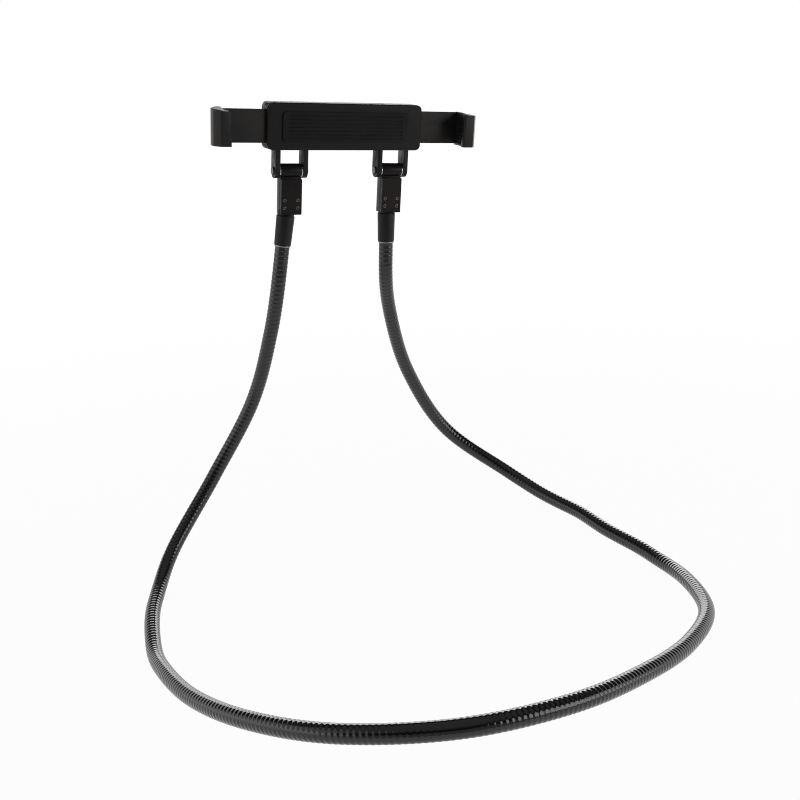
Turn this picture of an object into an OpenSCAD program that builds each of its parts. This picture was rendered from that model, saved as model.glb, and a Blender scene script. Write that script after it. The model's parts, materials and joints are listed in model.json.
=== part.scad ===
/* [Gooseneck loop] */
// Reach of the loop from side to side, on the tube's middle line
loop_w = 328; // [280:1:380]
// Reach of the loop from front to back, on the tube's middle line
loop_d = 338; // [290:1:390]
// Height of the arms' bends above the surface that the loop lies on
loop_h = 209; // [190:1:230]
// Height of the cradle's middle above the surface
cradle_h = 285; // [275:1:300]
// Angle at which the hand-bent loop holds the cradle, right end low
cradle_roll = 4.8; // [0:0.1:8]

/* [Gooseneck tube] */
// Outer diameter over the ribs
hose_d = 9.5; // [9:0.1:9.6]
// Depth of the groove between two ribs
rib_depth = 0.5; // [0.2:0.05:0.7]
// Number of ribs along the whole tube
rib_count = 200; // [60:1:200]
// Diameter of the soft metal core
core_d = 3.6; // [3:0.1:4]
// Room between the core and the bore of the tube
core_gap = 0.35; // [0.2:0.05:0.5]
// Depth of the flats where the tube lies on the surface
flat_depth = 0.5; // [0.3:0.1:0.8]
// Height over which the tube's line eases down onto the surface
landing = 4; // [2:0.5:5]

/* [End fittings] */
// Diameter of the plug's shank in its block
plug_d = 5; // [4.8:0.1:5.4]
// Length of the shank inside the block
plug_len = 16; // [12:1:20]
// Diameter of the plug's collar under the block
collar_d = 8.8; // [8:0.1:9]
// Thickness of the plug's collar
collar_t = 1.6; // [1:0.1:2.5]
// Length of the core that sits in the plug
core_grip = 11; // [8:1:13]
// Outer diameter of the sleeve at its block
sleeve_d = 11.6; // [11.4:0.1:12.4]
// Outer diameter of the sleeve at its lower end
sleeve_tip_d = 10.8; // [10.7:0.1:11.2]
// Length of the sleeve
sleeve_len = 19; // [17:0.5:24]
// Height of the bright ring below the sleeve
ferrule_h = 0.8; // [0.5:0.1:1.5]
// Lean of the left fitting, away from the middle
left_lean = 5.5; // [0:0.5:7]
// Lean of the right fitting, away from the middle
right_lean = 2; // [0:0.5:5]

/* [Blocks] */
// Distance between the middles of the two blocks
block_spacing = 69; // [60:0.5:78]
// Width of a block
block_w = 13.6; // [13:0.1:15]
// Depth of a block, front to back
block_d = 9; // [8.8:0.1:10]
// Height of a block below its hinge pin
block_drop = 27; // [24:0.5:30]
// Thickness of the block's front cover
cover_t = 1.6; // [1.4:0.1:1.8]
// Distance of the block's front behind the front of the housing
block_set = 3; // [0:0.1:3.5]
// Distance of the plug's middle from the block's middle, to the left
socket_off = 1.45; // [0:0.05:1.6]
// Spacing of the cover's screws across the block
cover_screw_w = 8.6; // [8.2:0.1:8.8]
// Spacing of the cover's screws up the block
cover_screw_h = 4.8; // [4.4:0.1:12]
// Height of the lowest cover screws above the block's lower face
cover_screw_lift = 4.2; // [3.6:0.1:6]

/* [Hinge] */
// Diameter of the hinge pins
pin_d = 3; // [2.5:0.1:3.4]
// Drop of the hinge pins below the cradle's middle
hinge_drop = 27.5; // [24:0.5:32]
// Thickness of one hinge ear
ear_t = 3; // [2.4:0.1:4]
// Thickness of a friction washer
washer_t = 0.5; // [0.3:0.1:0.8]

/* [Cradle housing] */
// Length of the housing
housing_l = 104; // [96:1:105]
// Height of the housing
housing_h = 28.4; // [28:0.1:32]
// Wall of the housing at its front, back and ends
wall = 2; // [1.8:0.1:2.4]
// Radius of the housing's corners as seen from the front
corner_r = 4; // [2:0.5:6]
// Bevel round the housing's front and back faces
shell_bevel = 0.5; // [0.3:0.1:0.6]
// Bevel across the ends of the housing's back
end_bevel = 2.2; // [0.6:0.1:2.6]
// Thickness of the rubber rest pad
pad_t = 1.4; // [1.2:0.1:2]
// Length of the rest pad
pad_l = 84; // [60:1:90]
// Height of the rest pad
pad_h = 18; // [12:1:20]
// Depth of the recess that holds the rest pad
pad_recess = 0.5; // [0.3:0.1:0.8]

/* [Jaws and arms] */
// Gap between the rubber faces of the jaws, as drawn
jaw_gap = 158; // [156:0.5:166]
// Depth of the device that the jaws hold
device_t = 7.1; // [6:0.1:9]
// Height of a jaw at its back
jaw_h = 22; // [20.6:0.1:24]
// Outer thickness of a jaw, behind its rubber
jaw_t = 7.3; // [6:0.1:8]
// Thickness of the rubber on a jaw
jaw_pad_t = 1.2; // [0.8:0.1:2]
// How far a lip reaches over the front of the device
lip_reach = 1.6; // [1:0.1:4]
// Thickness of a lip
lip_t = 3.5; // [2.5:0.1:4.5]
// Width of the sliding arms
arm_h = 20; // [19.6:0.1:20.4]
// Thickness of a sliding arm
arm_t = 2.4; // [2:0.1:3]
// Room around the sliding parts
slide_gap = 0.3; // [0.2:0.05:0.4]
// Travel of each jaw inwards from where it is drawn
travel_in = 25; // [20:0.5:26]
// Travel of each jaw outwards from where it is drawn
travel_out = 6; // [3:0.5:8]

/* [Centring gear] */
// Module of the gear and racks
gear_m = 1; // [0.9:0.05:1]
// Number of teeth on the gear
gear_teeth = 11; // [11:2:11]
// Pressure angle of the teeth
gear_angle = 25; // [20:1:25]
// Play between the teeth
gear_play = 0.3; // [0.2:0.05:0.4]
// Thickness of the return spring's strip
strip_t = 0.4; // [0.3:0.05:0.5]
// Width of the return spring's strip
strip_w = 2.6; // [2:0.1:3]
// Turns of the return spring
strip_turns = 6; // [4:1:6]

/* [Hidden] */

black = "#1c1c1e";
soft_black = "#2a2a2c";
rubber_black = "#161616";
bright = "#c9cacc";

// Cuts run past the faces that they open by this much
over = 1;
round_fn = 48;
fine_fn = 32;

// Fits
pin_fit = 0.05;
grip_gap = 0.1;
seat_gap = 0.3;
washer_gap = 0.15;
lift = 0.15;

// Small sizes of the fittings
sleeve_chamfer = 0.4;
plug_groove_w = 2;
plug_groove_depth = 0.5;
plug_groove_lift = 1;
ferrule_step = 0.1;
hose_run = 12;
cover_edge = 0.4;
cover_gap = 0.1;
screw_d = 1.4;
screw_head_d = 2.6;
screw_head_t = 0.6;
screw_len = 2.5;
block_round = 0.6;
screw_slot_w = 0.5;
screw_slot_depth = 0.3;
pin_head_d = 4.6;
pin_head_t = 1;

// Small sizes of the cradle
shell_screw_d = 1.8;
shell_screw_len = 8;
shell_head_d = 2.6;
shell_head_t = 0.9;
axle_seat = 1;
hub_wall = 1.7;
back_slope_w = 4.5;
back_slope_d = 6.2;
front_slope_w = 3.3;
front_slope_d = 4.2;
right_tip_cut = 1.2;
lip_gap = 0.2;
left_tip_cut = 3.2;
front_fall = 1.8;
outer_fall = 2.4;
lip_tip_r = 0.8;
grip_count = 7;
grip_w = 1;
grip_depth = 0.4;

// The middle line of the loop, in shares of loop_w, loop_d and loop_h, from the left arm
// round the front to the right arm. X and Y start at the cradle's middle, Z at the height
// of a tube that lies on the surface.
route_shares = [
    [-0.167, 0.067, 0.719],
    [-0.206, 0.104, 0.478],
    [-0.300, 0.109, 0.243],
    [-0.415, 0.049, 0.059],
    [-0.480, -0.061, -0.012],
    [-0.514, -0.180, -0.024],
    [-0.526, -0.301, 0.024],
    [-0.513, -0.464, 0.090],
    [-0.467, -0.620, 0.166],
    [-0.382, -0.761, 0.239],
    [-0.240, -0.851, 0.274],
    [-0.065, -0.851, 0.243],
    [0.100, -0.800, 0.187],
    [0.254, -0.724, 0.127],
    [0.386, -0.616, 0.073],
    [0.461, -0.465, 0.023],
    [0.476, -0.345, -0.014],
    [0.460, -0.220, -0.028],
    [0.449, -0.092, -0.014],
    [0.385, 0.060, 0.057],
    [0.265, 0.142, 0.220],
    [0.169, 0.134, 0.469],
    [0.108, 0.089, 0.719],
];
// Heights, as shares of loop_h, between which the ribs' facets turn from level to upright
turn_shares = [0.30, 0.85];

// Sizes of the tube
hose_sides = 8;
facet_share = cos(180 / hose_sides);
hose_r = hose_d / 2;
core_r = core_d / 2;
bore_r = (core_r + core_gap) / facet_share;
rest_z = hose_r * facet_share - flat_depth;
route_steps = 12;
core_stations = 105;

// Depth of the cradle's layers behind the front of the held device
back_y = device_t + slide_gap / 2;
shell_y = back_y + pad_t - pad_recess;
cavity_y = shell_y + wall;
left_arm_y = cavity_y + slide_gap;
right_arm_y = left_arm_y + arm_t + slide_gap;
spring_y = right_arm_y + arm_t + slide_gap + lift;
inner_back_y = spring_y + strip_w + slide_gap + lift;
housing_back_y = inner_back_y + wall;
cavity_h = arm_h + 2 * slide_gap;

// Places of the blocks and hinges
block_y = shell_y + block_set;
hinge_y = block_y + block_d / 2;
hinge_z = -hinge_drop;
block_low_z = hinge_z - block_drop;
ear_r = block_d / 2;
ear_in = block_w / 2 + washer_t + 2 * washer_gap;
plug_groove_z = core_grip + plug_groove_lift;

// Sizes of the jaws and the gear
jaw_face_x = jaw_gap / 2;
jaw_wall_x = jaw_face_x + jaw_pad_t;
jaw_out_x = jaw_wall_x + jaw_t;
lip_tip_x = jaw_face_x - lip_reach;
pad_back_y = shell_y - slide_gap;
gear_r = gear_m * gear_teeth / 2;
addendum = 0.8 * gear_m;
dedendum = 1.05 * gear_m;
gear_tip_r = gear_r + addendum;
base_r = gear_r * cos(gear_angle);
tooth_pitch = PI * gear_m;
tooth_w = tooth_pitch / 2 - gear_play / 2;
window_end = gear_tip_r + seat_gap;
window_in = travel_in + window_end;
window_out = travel_out + window_end;
arm_strip = 2;
arm_end = window_out + arm_strip;
axle_d = 3;
hub_r = axle_d / 2 + hub_wall;
coil_in_r = hub_r + seat_gap + strip_t / 2;
coil_out_r = cavity_h / 2 - slide_gap - strip_t / 2;
coil_pitch = (coil_out_r - coil_in_r) / strip_turns;

// Vectors and the curve through the route's points
function unit(v) = v / norm(v);
function spin_y(v, a) = [v.x * cos(a) + v.z * sin(a), v.y, v.z * cos(a) - v.x * sin(a)];
function at_cradle(v) = spin_y(v, cradle_roll) + [0, 0, cradle_h];
function bend(a, b, c, d, t) = 0.5 * (2 * b + (c - a) * t + (2 * a - 5 * b + 4 * c - d) * t * t
    + (3 * b - a - 3 * c + d) * t * t * t);
function eased(d) = d < -landing ? 0 : d > landing ? d : (d + landing) * (d + landing) / (4 * landing);
function laid(p) = [p.x, p.y, rest_z + eased(p.z - rest_z)];

// Where each fitting leaves its block, and the direction in which it points
function lean_of(side) = side < 0 ? left_lean : right_lean;
function boss_drop(side) = sleeve_d / 2 * tan(lean_of(side)) + 2 * lift;
function socket_from(side) = [
    side * (block_spacing + plug_len * tan(lean_of(side))) / 2 - socket_off,
    hinge_y,
    block_low_z - boss_drop(side)];
function socket_at(side) = at_cradle(socket_from(side));
function way_down(side) = spin_y([side * sin(lean_of(side)), 0, -cos(lean_of(side))], cradle_roll);
tube_start = collar_t + lift;
run_end = sleeve_len + hose_run;
left_top = socket_at(-1) + way_down(-1) * run_end;
right_top = socket_at(1) + way_down(1) * run_end;
bends = [for (s = route_shares) [s.x * loop_w, s.y * loop_d, s.z * loop_h + rest_z]];
first_step = norm(bends[0] - left_top);
last_step = norm(bends[len(bends) - 1] - right_top);
knots = concat([bends[0] - 2 * first_step * way_down(-1), left_top], bends,
    [right_top, bends[len(bends) - 1] - 2 * last_step * way_down(1)]);
curve = [for (i = [1 : len(knots) - 3], k = [0 : route_steps - 1])
    laid(bend(knots[i - 1], knots[i], knots[i + 1], knots[i + 2], k / route_steps))];
line = concat([socket_at(-1) + way_down(-1) * tube_start], curve,
    [right_top, socket_at(1) + way_down(1) * tube_start]);

// Distance along the line, and points at any distance
function steps(p) = [for (i = [1 : len(p) - 1]) norm(p[i] - p[i - 1])];
function sums(v) = [for (i = 0, s = 0; i <= len(v); s = s + (i < len(v) ? v[i] : 0), i = i + 1) s];
marks = sums(steps(line));
tube_len = marks[len(marks) - 1];
table_x = [for (i = [0 : len(line) - 1]) [marks[i], line[i].x]];
table_y = [for (i = [0 : len(line) - 1]) [marks[i], line[i].y]];
table_z = [for (i = [0 : len(line) - 1]) [marks[i], line[i].z]];
function on_line(s) = [lookup(s, table_x), lookup(s, table_y), lookup(s, table_z)];
look = tube_len / rib_count;
function along(s) = unit(on_line(min(s + look, tube_len)) - on_line(max(s - look, 0)));
function turned(h) = min(1, max(0, (turn_shares[1] - h / loop_h) / (turn_shares[1] - turn_shares[0])));

// One ring of points square to the line: a level facet on the surface, an upright one above
function side_of(t, w) = unit(cross(t, [0, 1 - w, w]));
function ring(s, r, low) = let (p = on_line(s), t = along(s), u = side_of(t, turned(p.z)), v = cross(u, t))
    [for (k = [0 : hose_sides - 1]) let (a = (k + 0.5) * 360 / hose_sides, q = p + r * (cos(a) * u + sin(a) * v))
        [q.x, q.y, max(q.z, low)]];

// Faces between rings of points that run from first, each turned the same way
function skin(first, rings, out) = [for (i = [0 : rings - 2], k = [0 : hose_sides - 1], h = [0, 1])
    let (a = first + i * hose_sides + k, b = first + i * hose_sides + (k + 1) % hose_sides,
        c = a + hose_sides, d = b + hose_sides, f = h == 0 ? [a, b, d] : [a, d, c])
    out ? f : [f.z, f.y, f.x]];
function cap(a, b) = [for (k = [0 : hose_sides - 1], h = [0, 1]) let (n = (k + 1) % hose_sides)
    h == 0 ? [a + k, b + k, b + n] : [a + k, b + n, a + n]];

// The outer ribs, a crest and a groove each, the bore's rings, and the faces that join them
rib_rings = 2 * rib_count;
rib_points = [for (i = [0 : rib_rings - 1])
    each ring(tube_len * i / (rib_rings - 1), hose_r - (i % 2 == 0 ? rib_depth : 0), 0)];
bore_points = [for (i = [0 : core_stations - 1])
    each ring(tube_len * i / (core_stations - 1), bore_r, -loop_h)];
bore_first = rib_rings * hose_sides;
bore_last = bore_first + (core_stations - 1) * hose_sides;
hose_faces = concat(skin(0, rib_rings, true), skin(bore_first, core_stations, false),
    cap(0, bore_first), cap(bore_last, bore_first - hose_sides));

// The core runs on past the bore at both ends, into the plugs
core_reach = core_grip - seat_gap;
core_points = concat(core_ring(-1), [for (i = [0 : core_stations - 1])
    each ring(tube_len * i / (core_stations - 1), core_r, -loop_h)], core_ring(1));
function core_ring(side) = [for (q = ring(side < 0 ? 0 : tube_len, core_r, -loop_h))
    q - way_down(side) * (tube_start + core_reach)];
core_rings = core_stations + 2;
core_faces = concat(skin(0, core_rings, true), [[for (k = [0 : hose_sides - 1]) hose_sides - 1 - k]],
    [[for (k = [0 : hose_sides - 1]) (core_rings - 1) * hose_sides + k]]);

// The origin lies on the surface, in the middle of the footprint
xs = [for (p = rib_points) p.x];
ys = concat([for (p = rib_points) p.y], [housing_back_y]);
middle = [(min(xs) + max(xs)) / 2, (min(ys) + max(ys)) / 2, 0];

module in_place() translate(-middle) children();

// Cradle frame: X along the housing, Y away from the user, Z up, from the cradle's middle
module in_cradle() in_place() translate([0, 0, cradle_h]) rotate([0, cradle_roll, 0]) children();

// Fitting frame: Z points up the plug from the lower face of the block's boss
module in_fitting(side) in_cradle() translate(socket_from(side))
    rotate([0, -side * lean_of(side), 0]) children();

module slab(x, y0, y1, z) translate([-x / 2, y0, -z / 2]) cube([x, y1 - y0, z]);

module rounded_slab(x, y0, y1, z, r) translate([0, y1, 0]) rotate([90, 0, 0]) linear_extrude(y1 - y0)
    rounded_rect(x, z, r);

// Outline of a shell in side view, bevelled along its outer face at y1 and running past the seam at y0
function bevel_view(y0, y1, z, b) = let (s = sign(y1 - y0), h = z / 2) [
    [y0 - s * over, h + over],
    [y1 - s * (b + over), h + over],
    [y1 + s * over, h - b - over],
    [y1 + s * over, b + over - h],
    [y1 - s * (b + over), -h - over],
    [y0 - s * over, -h - over]];

// A moulded shell: a rounded slab from the seam at y0 to the outer face at y1, with bevelled edges
module bevelled_shell(y0, y1, ends) intersection() {
    rounded_slab(housing_l, min(y0, y1), max(y0, y1), housing_h, corner_r);
    translate([-housing_l / 2 - over, 0, 0]) rotate([90, 0, 90]) linear_extrude(housing_l + 2 * over)
        polygon(bevel_view(y0, y1, housing_h, shell_bevel));
    translate([0, 0, -housing_h / 2 - over]) linear_extrude(housing_h + 2 * over)
        polygon([for (p = bevel_view(y0, y1, housing_l, ends)) [p.y, p.x]]);
}

module rounded_rect(x, z, r) {
    square([x - 2 * r, z], center = true);
    square([x, z - 2 * r], center = true);
    for (i = [-1, 1], k = [-1, 1])
        translate([i * (x / 2 - r), k * (z / 2 - r)]) circle(r, $fn = round_fn);
}

// A round bar along Y, and one along X
module bar_y(r, y0, y1) translate([0, y1, 0]) rotate([90, 0, 0]) cylinder(r = r, h = y1 - y0, $fn = fine_fn);
module bar_x(r, x0, x1) translate([x0, 0, 0]) rotate([0, 90, 0]) cylinder(r = r, h = x1 - x0, $fn = round_fn);

module gooseneck_hose() color(black) in_place()
    polyhedron(points = concat(rib_points, bore_points), faces = hose_faces, convexity = 8);

module gooseneck_core() color(bright) in_place()
    polyhedron(points = core_points, faces = core_faces, convexity = 8);

module plug(side) color(bright) in_fitting(side) rotate_extrude($fn = round_fn) polygon([
    [core_r + grip_gap, -collar_t],
    [collar_d / 2, -collar_t],
    [collar_d / 2, -lift],
    [plug_d / 2, -lift],
    [plug_d / 2, plug_groove_z],
    [plug_d / 2 - plug_groove_depth, plug_groove_z],
    [plug_d / 2 - plug_groove_depth, plug_groove_z + plug_groove_w],
    [plug_d / 2, plug_groove_z + plug_groove_w],
    [plug_d / 2, plug_len],
    [0, plug_len],
    [0, core_grip],
    [core_r + grip_gap, core_grip]]);

module left_plug() plug(-1);
module right_plug() plug(1);

module sleeve(side) color(soft_black) in_fitting(side) difference() {
    rotate_extrude($fn = round_fn) polygon([
        [0, -lift],
        [sleeve_d / 2 - sleeve_chamfer, -lift],
        [sleeve_d / 2, -lift - sleeve_chamfer],
        [sleeve_tip_d / 2, sleeve_chamfer - sleeve_len],
        [sleeve_tip_d / 2 - sleeve_chamfer, -sleeve_len],
        [0, -sleeve_len]]);
    translate([0, 0, -sleeve_len - over])
        cylinder(r = hose_r + lift, h = sleeve_len + 2 * over, $fn = round_fn);
}

module left_sleeve() sleeve(-1);
module right_sleeve() sleeve(1);

module ferrule(side) color(bright) in_fitting(side) translate([0, 0, -sleeve_len - ferrule_h])
    difference() {
        cylinder(r = sleeve_tip_d / 2 - ferrule_step, h = ferrule_h, $fn = round_fn);
        translate([0, 0, -over]) cylinder(r = hose_r + lift, h = ferrule_h + 2 * over, $fn = round_fn);
    }

module left_ferrule() ferrule(-1);
module right_ferrule() ferrule(1);

// Places of the cover's four screws, from the block's middle line
cover_screws_at = [for (i = [-1, 1], k = [0, 1])
    [i * cover_screw_w / 2, 0, block_low_z + cover_screw_lift + k * cover_screw_h]];

module at_block(side) in_cradle() translate([side * block_spacing / 2, 0, 0]) children();

// The round boss under a block, square to its leaning socket, kept clear of the cover
module boss(side) difference() {
    in_fitting(side) cylinder(d = sleeve_d - 2 * sleeve_chamfer, h = 2 * boss_drop(side) + over, $fn = round_fn);
    at_block(side) translate([-block_w, block_y - block_d, block_low_z - lift])
        cube([2 * block_w, block_d + cover_t + cover_gap, block_d]);
}

module block(side) color(soft_black) difference() {
    union() {
        at_block(side) {
            translate([0, 0, block_low_z]) linear_extrude(block_drop) block_outline();
            translate([0, hinge_y, hinge_z]) bar_x(ear_r, -block_w / 2, block_w / 2);
        }
        boss(side);
    }
    at_block(side) translate([0, hinge_y, hinge_z])
        bar_x(pin_d / 2 + pin_fit, -block_w / 2 - over, block_w / 2 + over);
    at_block(side) for (p = cover_screws_at) translate(p)
        bar_y(screw_d / 2, block_y, block_y + screw_len + pin_fit);
    in_fitting(side) translate([0, 0, -over])
        cylinder(d = plug_d + 2 * pin_fit, h = plug_len + over + lift, $fn = round_fn);
}

// A block seen from above: square at its cover, bevelled at its back
module block_outline() polygon([
    [-block_w / 2, block_y + cover_t + cover_gap],
    [block_w / 2, block_y + cover_t + cover_gap],
    [block_w / 2, block_y + block_d - block_round],
    [block_w / 2 - block_round, block_y + block_d],
    [block_round - block_w / 2, block_y + block_d],
    [-block_w / 2, block_y + block_d - block_round]]);

module left_block() block(-1);
module right_block() block(1);

cover_top_z = hinge_z - ear_r - seat_gap;
module cover(side) color(soft_black) at_block(side) difference() {
    translate([0, 0, (block_low_z + cover_top_z) / 2])
        rounded_slab(block_w, block_y, block_y + cover_t, cover_top_z - block_low_z, cover_edge);
    for (p = cover_screws_at) translate(p) {
        bar_y(screw_d / 2 + pin_fit, block_y - over, block_y + cover_t + over);
        bar_y(screw_head_d / 2 + pin_fit, block_y - over, block_y + screw_head_t + lift);
    }
}

module left_cover() cover(-1);
module right_cover() cover(1);

module cover_screws(side) color(bright) at_block(side) for (p = cover_screws_at) translate(p)
    difference() {
        union() {
            bar_y(screw_head_d / 2, block_y + lift, block_y + lift + screw_head_t);
            bar_y(screw_d / 2, block_y + lift, block_y + screw_len);
        }
        slab(screw_slot_w, block_y, block_y + lift + screw_slot_depth, screw_head_d + over);
    }

module left_cover_screws() cover_screws(-1);
module right_cover_screws() cover_screws(1);

module friction_washers() color(bright) for (side = [-1, 1], i = [-1, 1]) at_block(side)
    translate([i * (block_w / 2 + washer_gap + washer_t / 2), hinge_y, hinge_z]) difference() {
        bar_x(ear_r - seat_gap, -washer_t / 2, washer_t / 2);
        bar_x(pin_d / 2 + 2 * pin_fit, -over, over);
    }

module hinge_pin(side) color(bright) at_block(side) translate([0, hinge_y, hinge_z]) {
    bar_x(pin_d / 2, -ear_in - ear_t, ear_in + ear_t);
    bar_x(pin_head_d / 2, ear_in + ear_t, ear_in + ear_t + pin_head_t);
    bar_x(pin_head_d / 2, -ear_in - ear_t - pin_head_t, -ear_in - ear_t);
}

module left_hinge_pin() hinge_pin(-1);
module right_hinge_pin() hinge_pin(1);

// Places of the housing's four screws, in the thick upper and lower walls
shell_screws_at = [for (i = [-1, 1], k = [-1, 1])
    [i * housing_l * 0.36, 0, k * (housing_h + cavity_h) / 4]];

module front_shell() color(soft_black) in_cradle() difference() {
    bevelled_shell(cavity_y, shell_y, shell_bevel);
    rounded_slab(pad_l, shell_y - over, shell_y + pad_recess, pad_h, corner_r / 2);
    for (p = shell_screws_at) translate(p) bar_y(shell_screw_d / 2, cavity_y - axle_seat, cavity_y + over);
    bar_y(axle_d / 2 + pin_fit, cavity_y - axle_seat, cavity_y + over);
}

module arm_slot(side) translate([side * (housing_l / 2 - wall / 2), 0, 0])
    slab(wall + 2 * over, (side < 0 ? left_arm_y : right_arm_y) - slide_gap,
        (side < 0 ? left_arm_y : right_arm_y) + arm_t + slide_gap, cavity_h);

module ear() rotate([0, 90, 0]) rotate([0, 0, 90]) linear_extrude(ear_t) {
    translate([hinge_y, hinge_z]) circle(ear_r, $fn = round_fn);
    polygon([
        [hinge_y - ear_r, hinge_z],
        [max(cavity_y, hinge_y - ear_r), -housing_h / 2],
        [cavity_y, -cavity_h / 2 - seat_gap],
        [hinge_y + ear_r, -cavity_h / 2 - seat_gap],
        [hinge_y + ear_r, hinge_z]]);
}

module rear_shell() color(soft_black) in_cradle() difference() {
    union() {
        difference() {
            bevelled_shell(cavity_y, housing_back_y, end_bevel);
            slab(housing_l - 2 * wall, cavity_y - over, right_arm_y + arm_t + slide_gap, cavity_h);
            bar_y(cavity_h / 2, cavity_y, inner_back_y);
            for (side = [-1, 1]) arm_slot(side);
        }
        for (side = [-1, 1], x = [ear_in, -ear_in - ear_t])
            translate([side * block_spacing / 2 + x, 0, 0]) ear();
    }
    for (p = shell_screws_at) translate(p) {
        bar_y(shell_screw_d / 2 + pin_fit, cavity_y - over, housing_back_y + over);
        bar_y(shell_head_d / 2 + pin_fit, housing_back_y - shell_head_t - lift, housing_back_y + over);
    }
    bar_y(axle_d / 2 + pin_fit, inner_back_y - over, inner_back_y + axle_seat);
    for (side = [-1, 1]) translate([side * block_spacing / 2, hinge_y, hinge_z])
        bar_x(pin_d / 2 + pin_fit, -ear_in - ear_t - over, ear_in + ear_t + over);
}

module rest_pad() color(rubber_black) in_cradle() difference() {
    rounded_slab(pad_l - 2 * pin_fit, back_y, shell_y + pad_recess, pad_h - 2 * pin_fit, corner_r / 2);
    for (k = [1 : grip_count]) translate([0, 0, pad_h * (k / (grip_count + 1) - 0.5)])
        slab(pad_l - 2 * corner_r, back_y - over, back_y + grip_depth, grip_w);
}

module shell_screws() color(bright) in_cradle() for (p = shell_screws_at) translate(p) difference() {
    union() {
        bar_y(shell_head_d / 2, housing_back_y - lift - shell_head_t, housing_back_y - lift);
        bar_y(shell_screw_d / 2, cavity_y - axle_seat + lift, housing_back_y - lift);
    }
    slab(screw_slot_w, housing_back_y - lift - screw_slot_depth, housing_back_y + over, shell_head_d + over);
}

module gear_axle() color(bright) in_cradle()
    bar_y(axle_d / 2, cavity_y - axle_seat + lift, inner_back_y + axle_seat - lift);

// The spring's strip winds outwards from the gear's hub in steps of one degree share
coil_steps = 24;
function coil_r(i) = coil_in_r + coil_pitch * i / coil_steps;
function coil_edge(i, off) = (coil_r(i) + off) * [cos(360 * i / coil_steps), sin(360 * i / coil_steps)];
coil_count = strip_turns * coil_steps;
coil_outline = concat([for (i = [0 : coil_count]) coil_edge(i, -strip_t / 2)],
    [for (i = [0 : coil_count]) coil_edge(coil_count - i, strip_t / 2)]);
coil_gap = min([for (i = [0 : coil_count - coil_steps])
    norm(coil_edge(i + coil_steps, -strip_t / 2) - coil_edge(i, strip_t / 2))]);
echo(least_gap_in_return_spring = coil_gap);

module return_spring() color(bright) in_cradle() translate([0, spring_y + strip_w, 0])
    rotate([90, 0, 0]) linear_extrude(strip_w) polygon(coil_outline);

// Half the angle that a tooth takes at a given radius, on a flank that unrolls from the base circle
function roll_angle(r) = r <= base_r ? 0 : (sqrt(r * r - base_r * base_r) / base_r) * 180 / PI
    - acos(base_r / r);
half_tooth = tooth_w / gear_r * 90 / PI + roll_angle(gear_r);
gear_root_r = gear_r - dedendum;
flank_shares = [0, 0.25, 0.5, 0.75, 1];
flank = concat([[gear_root_r, half_tooth]], [for (s = flank_shares)
    let (r = base_r + s * (gear_tip_r - base_r)) [r, half_tooth - roll_angle(r)]]);
gear_outline = [for (k = [0 : gear_teeth - 1], i = [0 : 2 * len(flank) - 1])
    let (up = i < len(flank), f = flank[up ? i : 2 * len(flank) - 1 - i],
        a = 90 + 360 * k / gear_teeth + (up ? f[1] : -f[1]) * -1)
    f[0] * [cos(a), sin(a)]];

module gear() color("#d8d4c8") in_cradle() difference() {
    union() {
        translate([0, right_arm_y + arm_t, 0]) rotate([90, 0, 0])
            linear_extrude(right_arm_y + arm_t - left_arm_y) polygon(gear_outline);
        bar_y(hub_r, right_arm_y + arm_t - lift, inner_back_y - slide_gap);
    }
    bar_y(axle_d / 2 + pin_fit, cavity_y, inner_back_y + over);
}

// One rack tooth, tip down, with its middle at x
module rack_tooth(x) translate([x, gear_r]) polygon([
    [-tooth_w / 2 + addendum * tan(gear_angle), -addendum],
    [tooth_w / 2 - addendum * tan(gear_angle), -addendum],
    [tooth_w / 2 + dedendum * tan(gear_angle), dedendum],
    [tooth_w / 2 + dedendum * tan(gear_angle), dedendum + over / 2],
    [-tooth_w / 2 - dedendum * tan(gear_angle), dedendum + over / 2],
    [-tooth_w / 2 - dedendum * tan(gear_angle), dedendum]]);

rack_low = floor((gear_r + travel_in) / tooth_pitch);
rack_high = floor((gear_r + travel_out) / tooth_pitch);
// Plate of the left arm, seen from the front, with the window whose upper edge is the rack
module arm_plate(shift_share) {
    difference() {
        translate([-jaw_wall_x - over, -arm_h / 2]) square([jaw_wall_x + over + arm_end, arm_h]);
        translate([-window_in, -gear_tip_r - seat_gap])
            square([window_in + window_out, 2 * gear_tip_r + seat_gap - addendum + dedendum]);
    }
    for (k = [-rack_low : rack_high]) rack_tooth((k + shift_share) * tooth_pitch);
}

// Side wall and lip of the left jaw, seen from above
module jaw_outline(back) polygon([
    [-jaw_wall_x, back],
    [-jaw_out_x + back_slope_w, back],
    [-jaw_out_x, back - back_slope_d],
    [-jaw_out_x, front_slope_d - lip_gap - lip_t],
    [-jaw_out_x + front_slope_w, -lip_gap - lip_t],
    [-lip_tip_x - lip_tip_r, -lip_gap - lip_t],
    [-lip_tip_x, -lip_gap - lip_t + lip_tip_r],
    [-lip_tip_x, -lip_gap],
    [-jaw_wall_x, -lip_gap]]);

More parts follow.
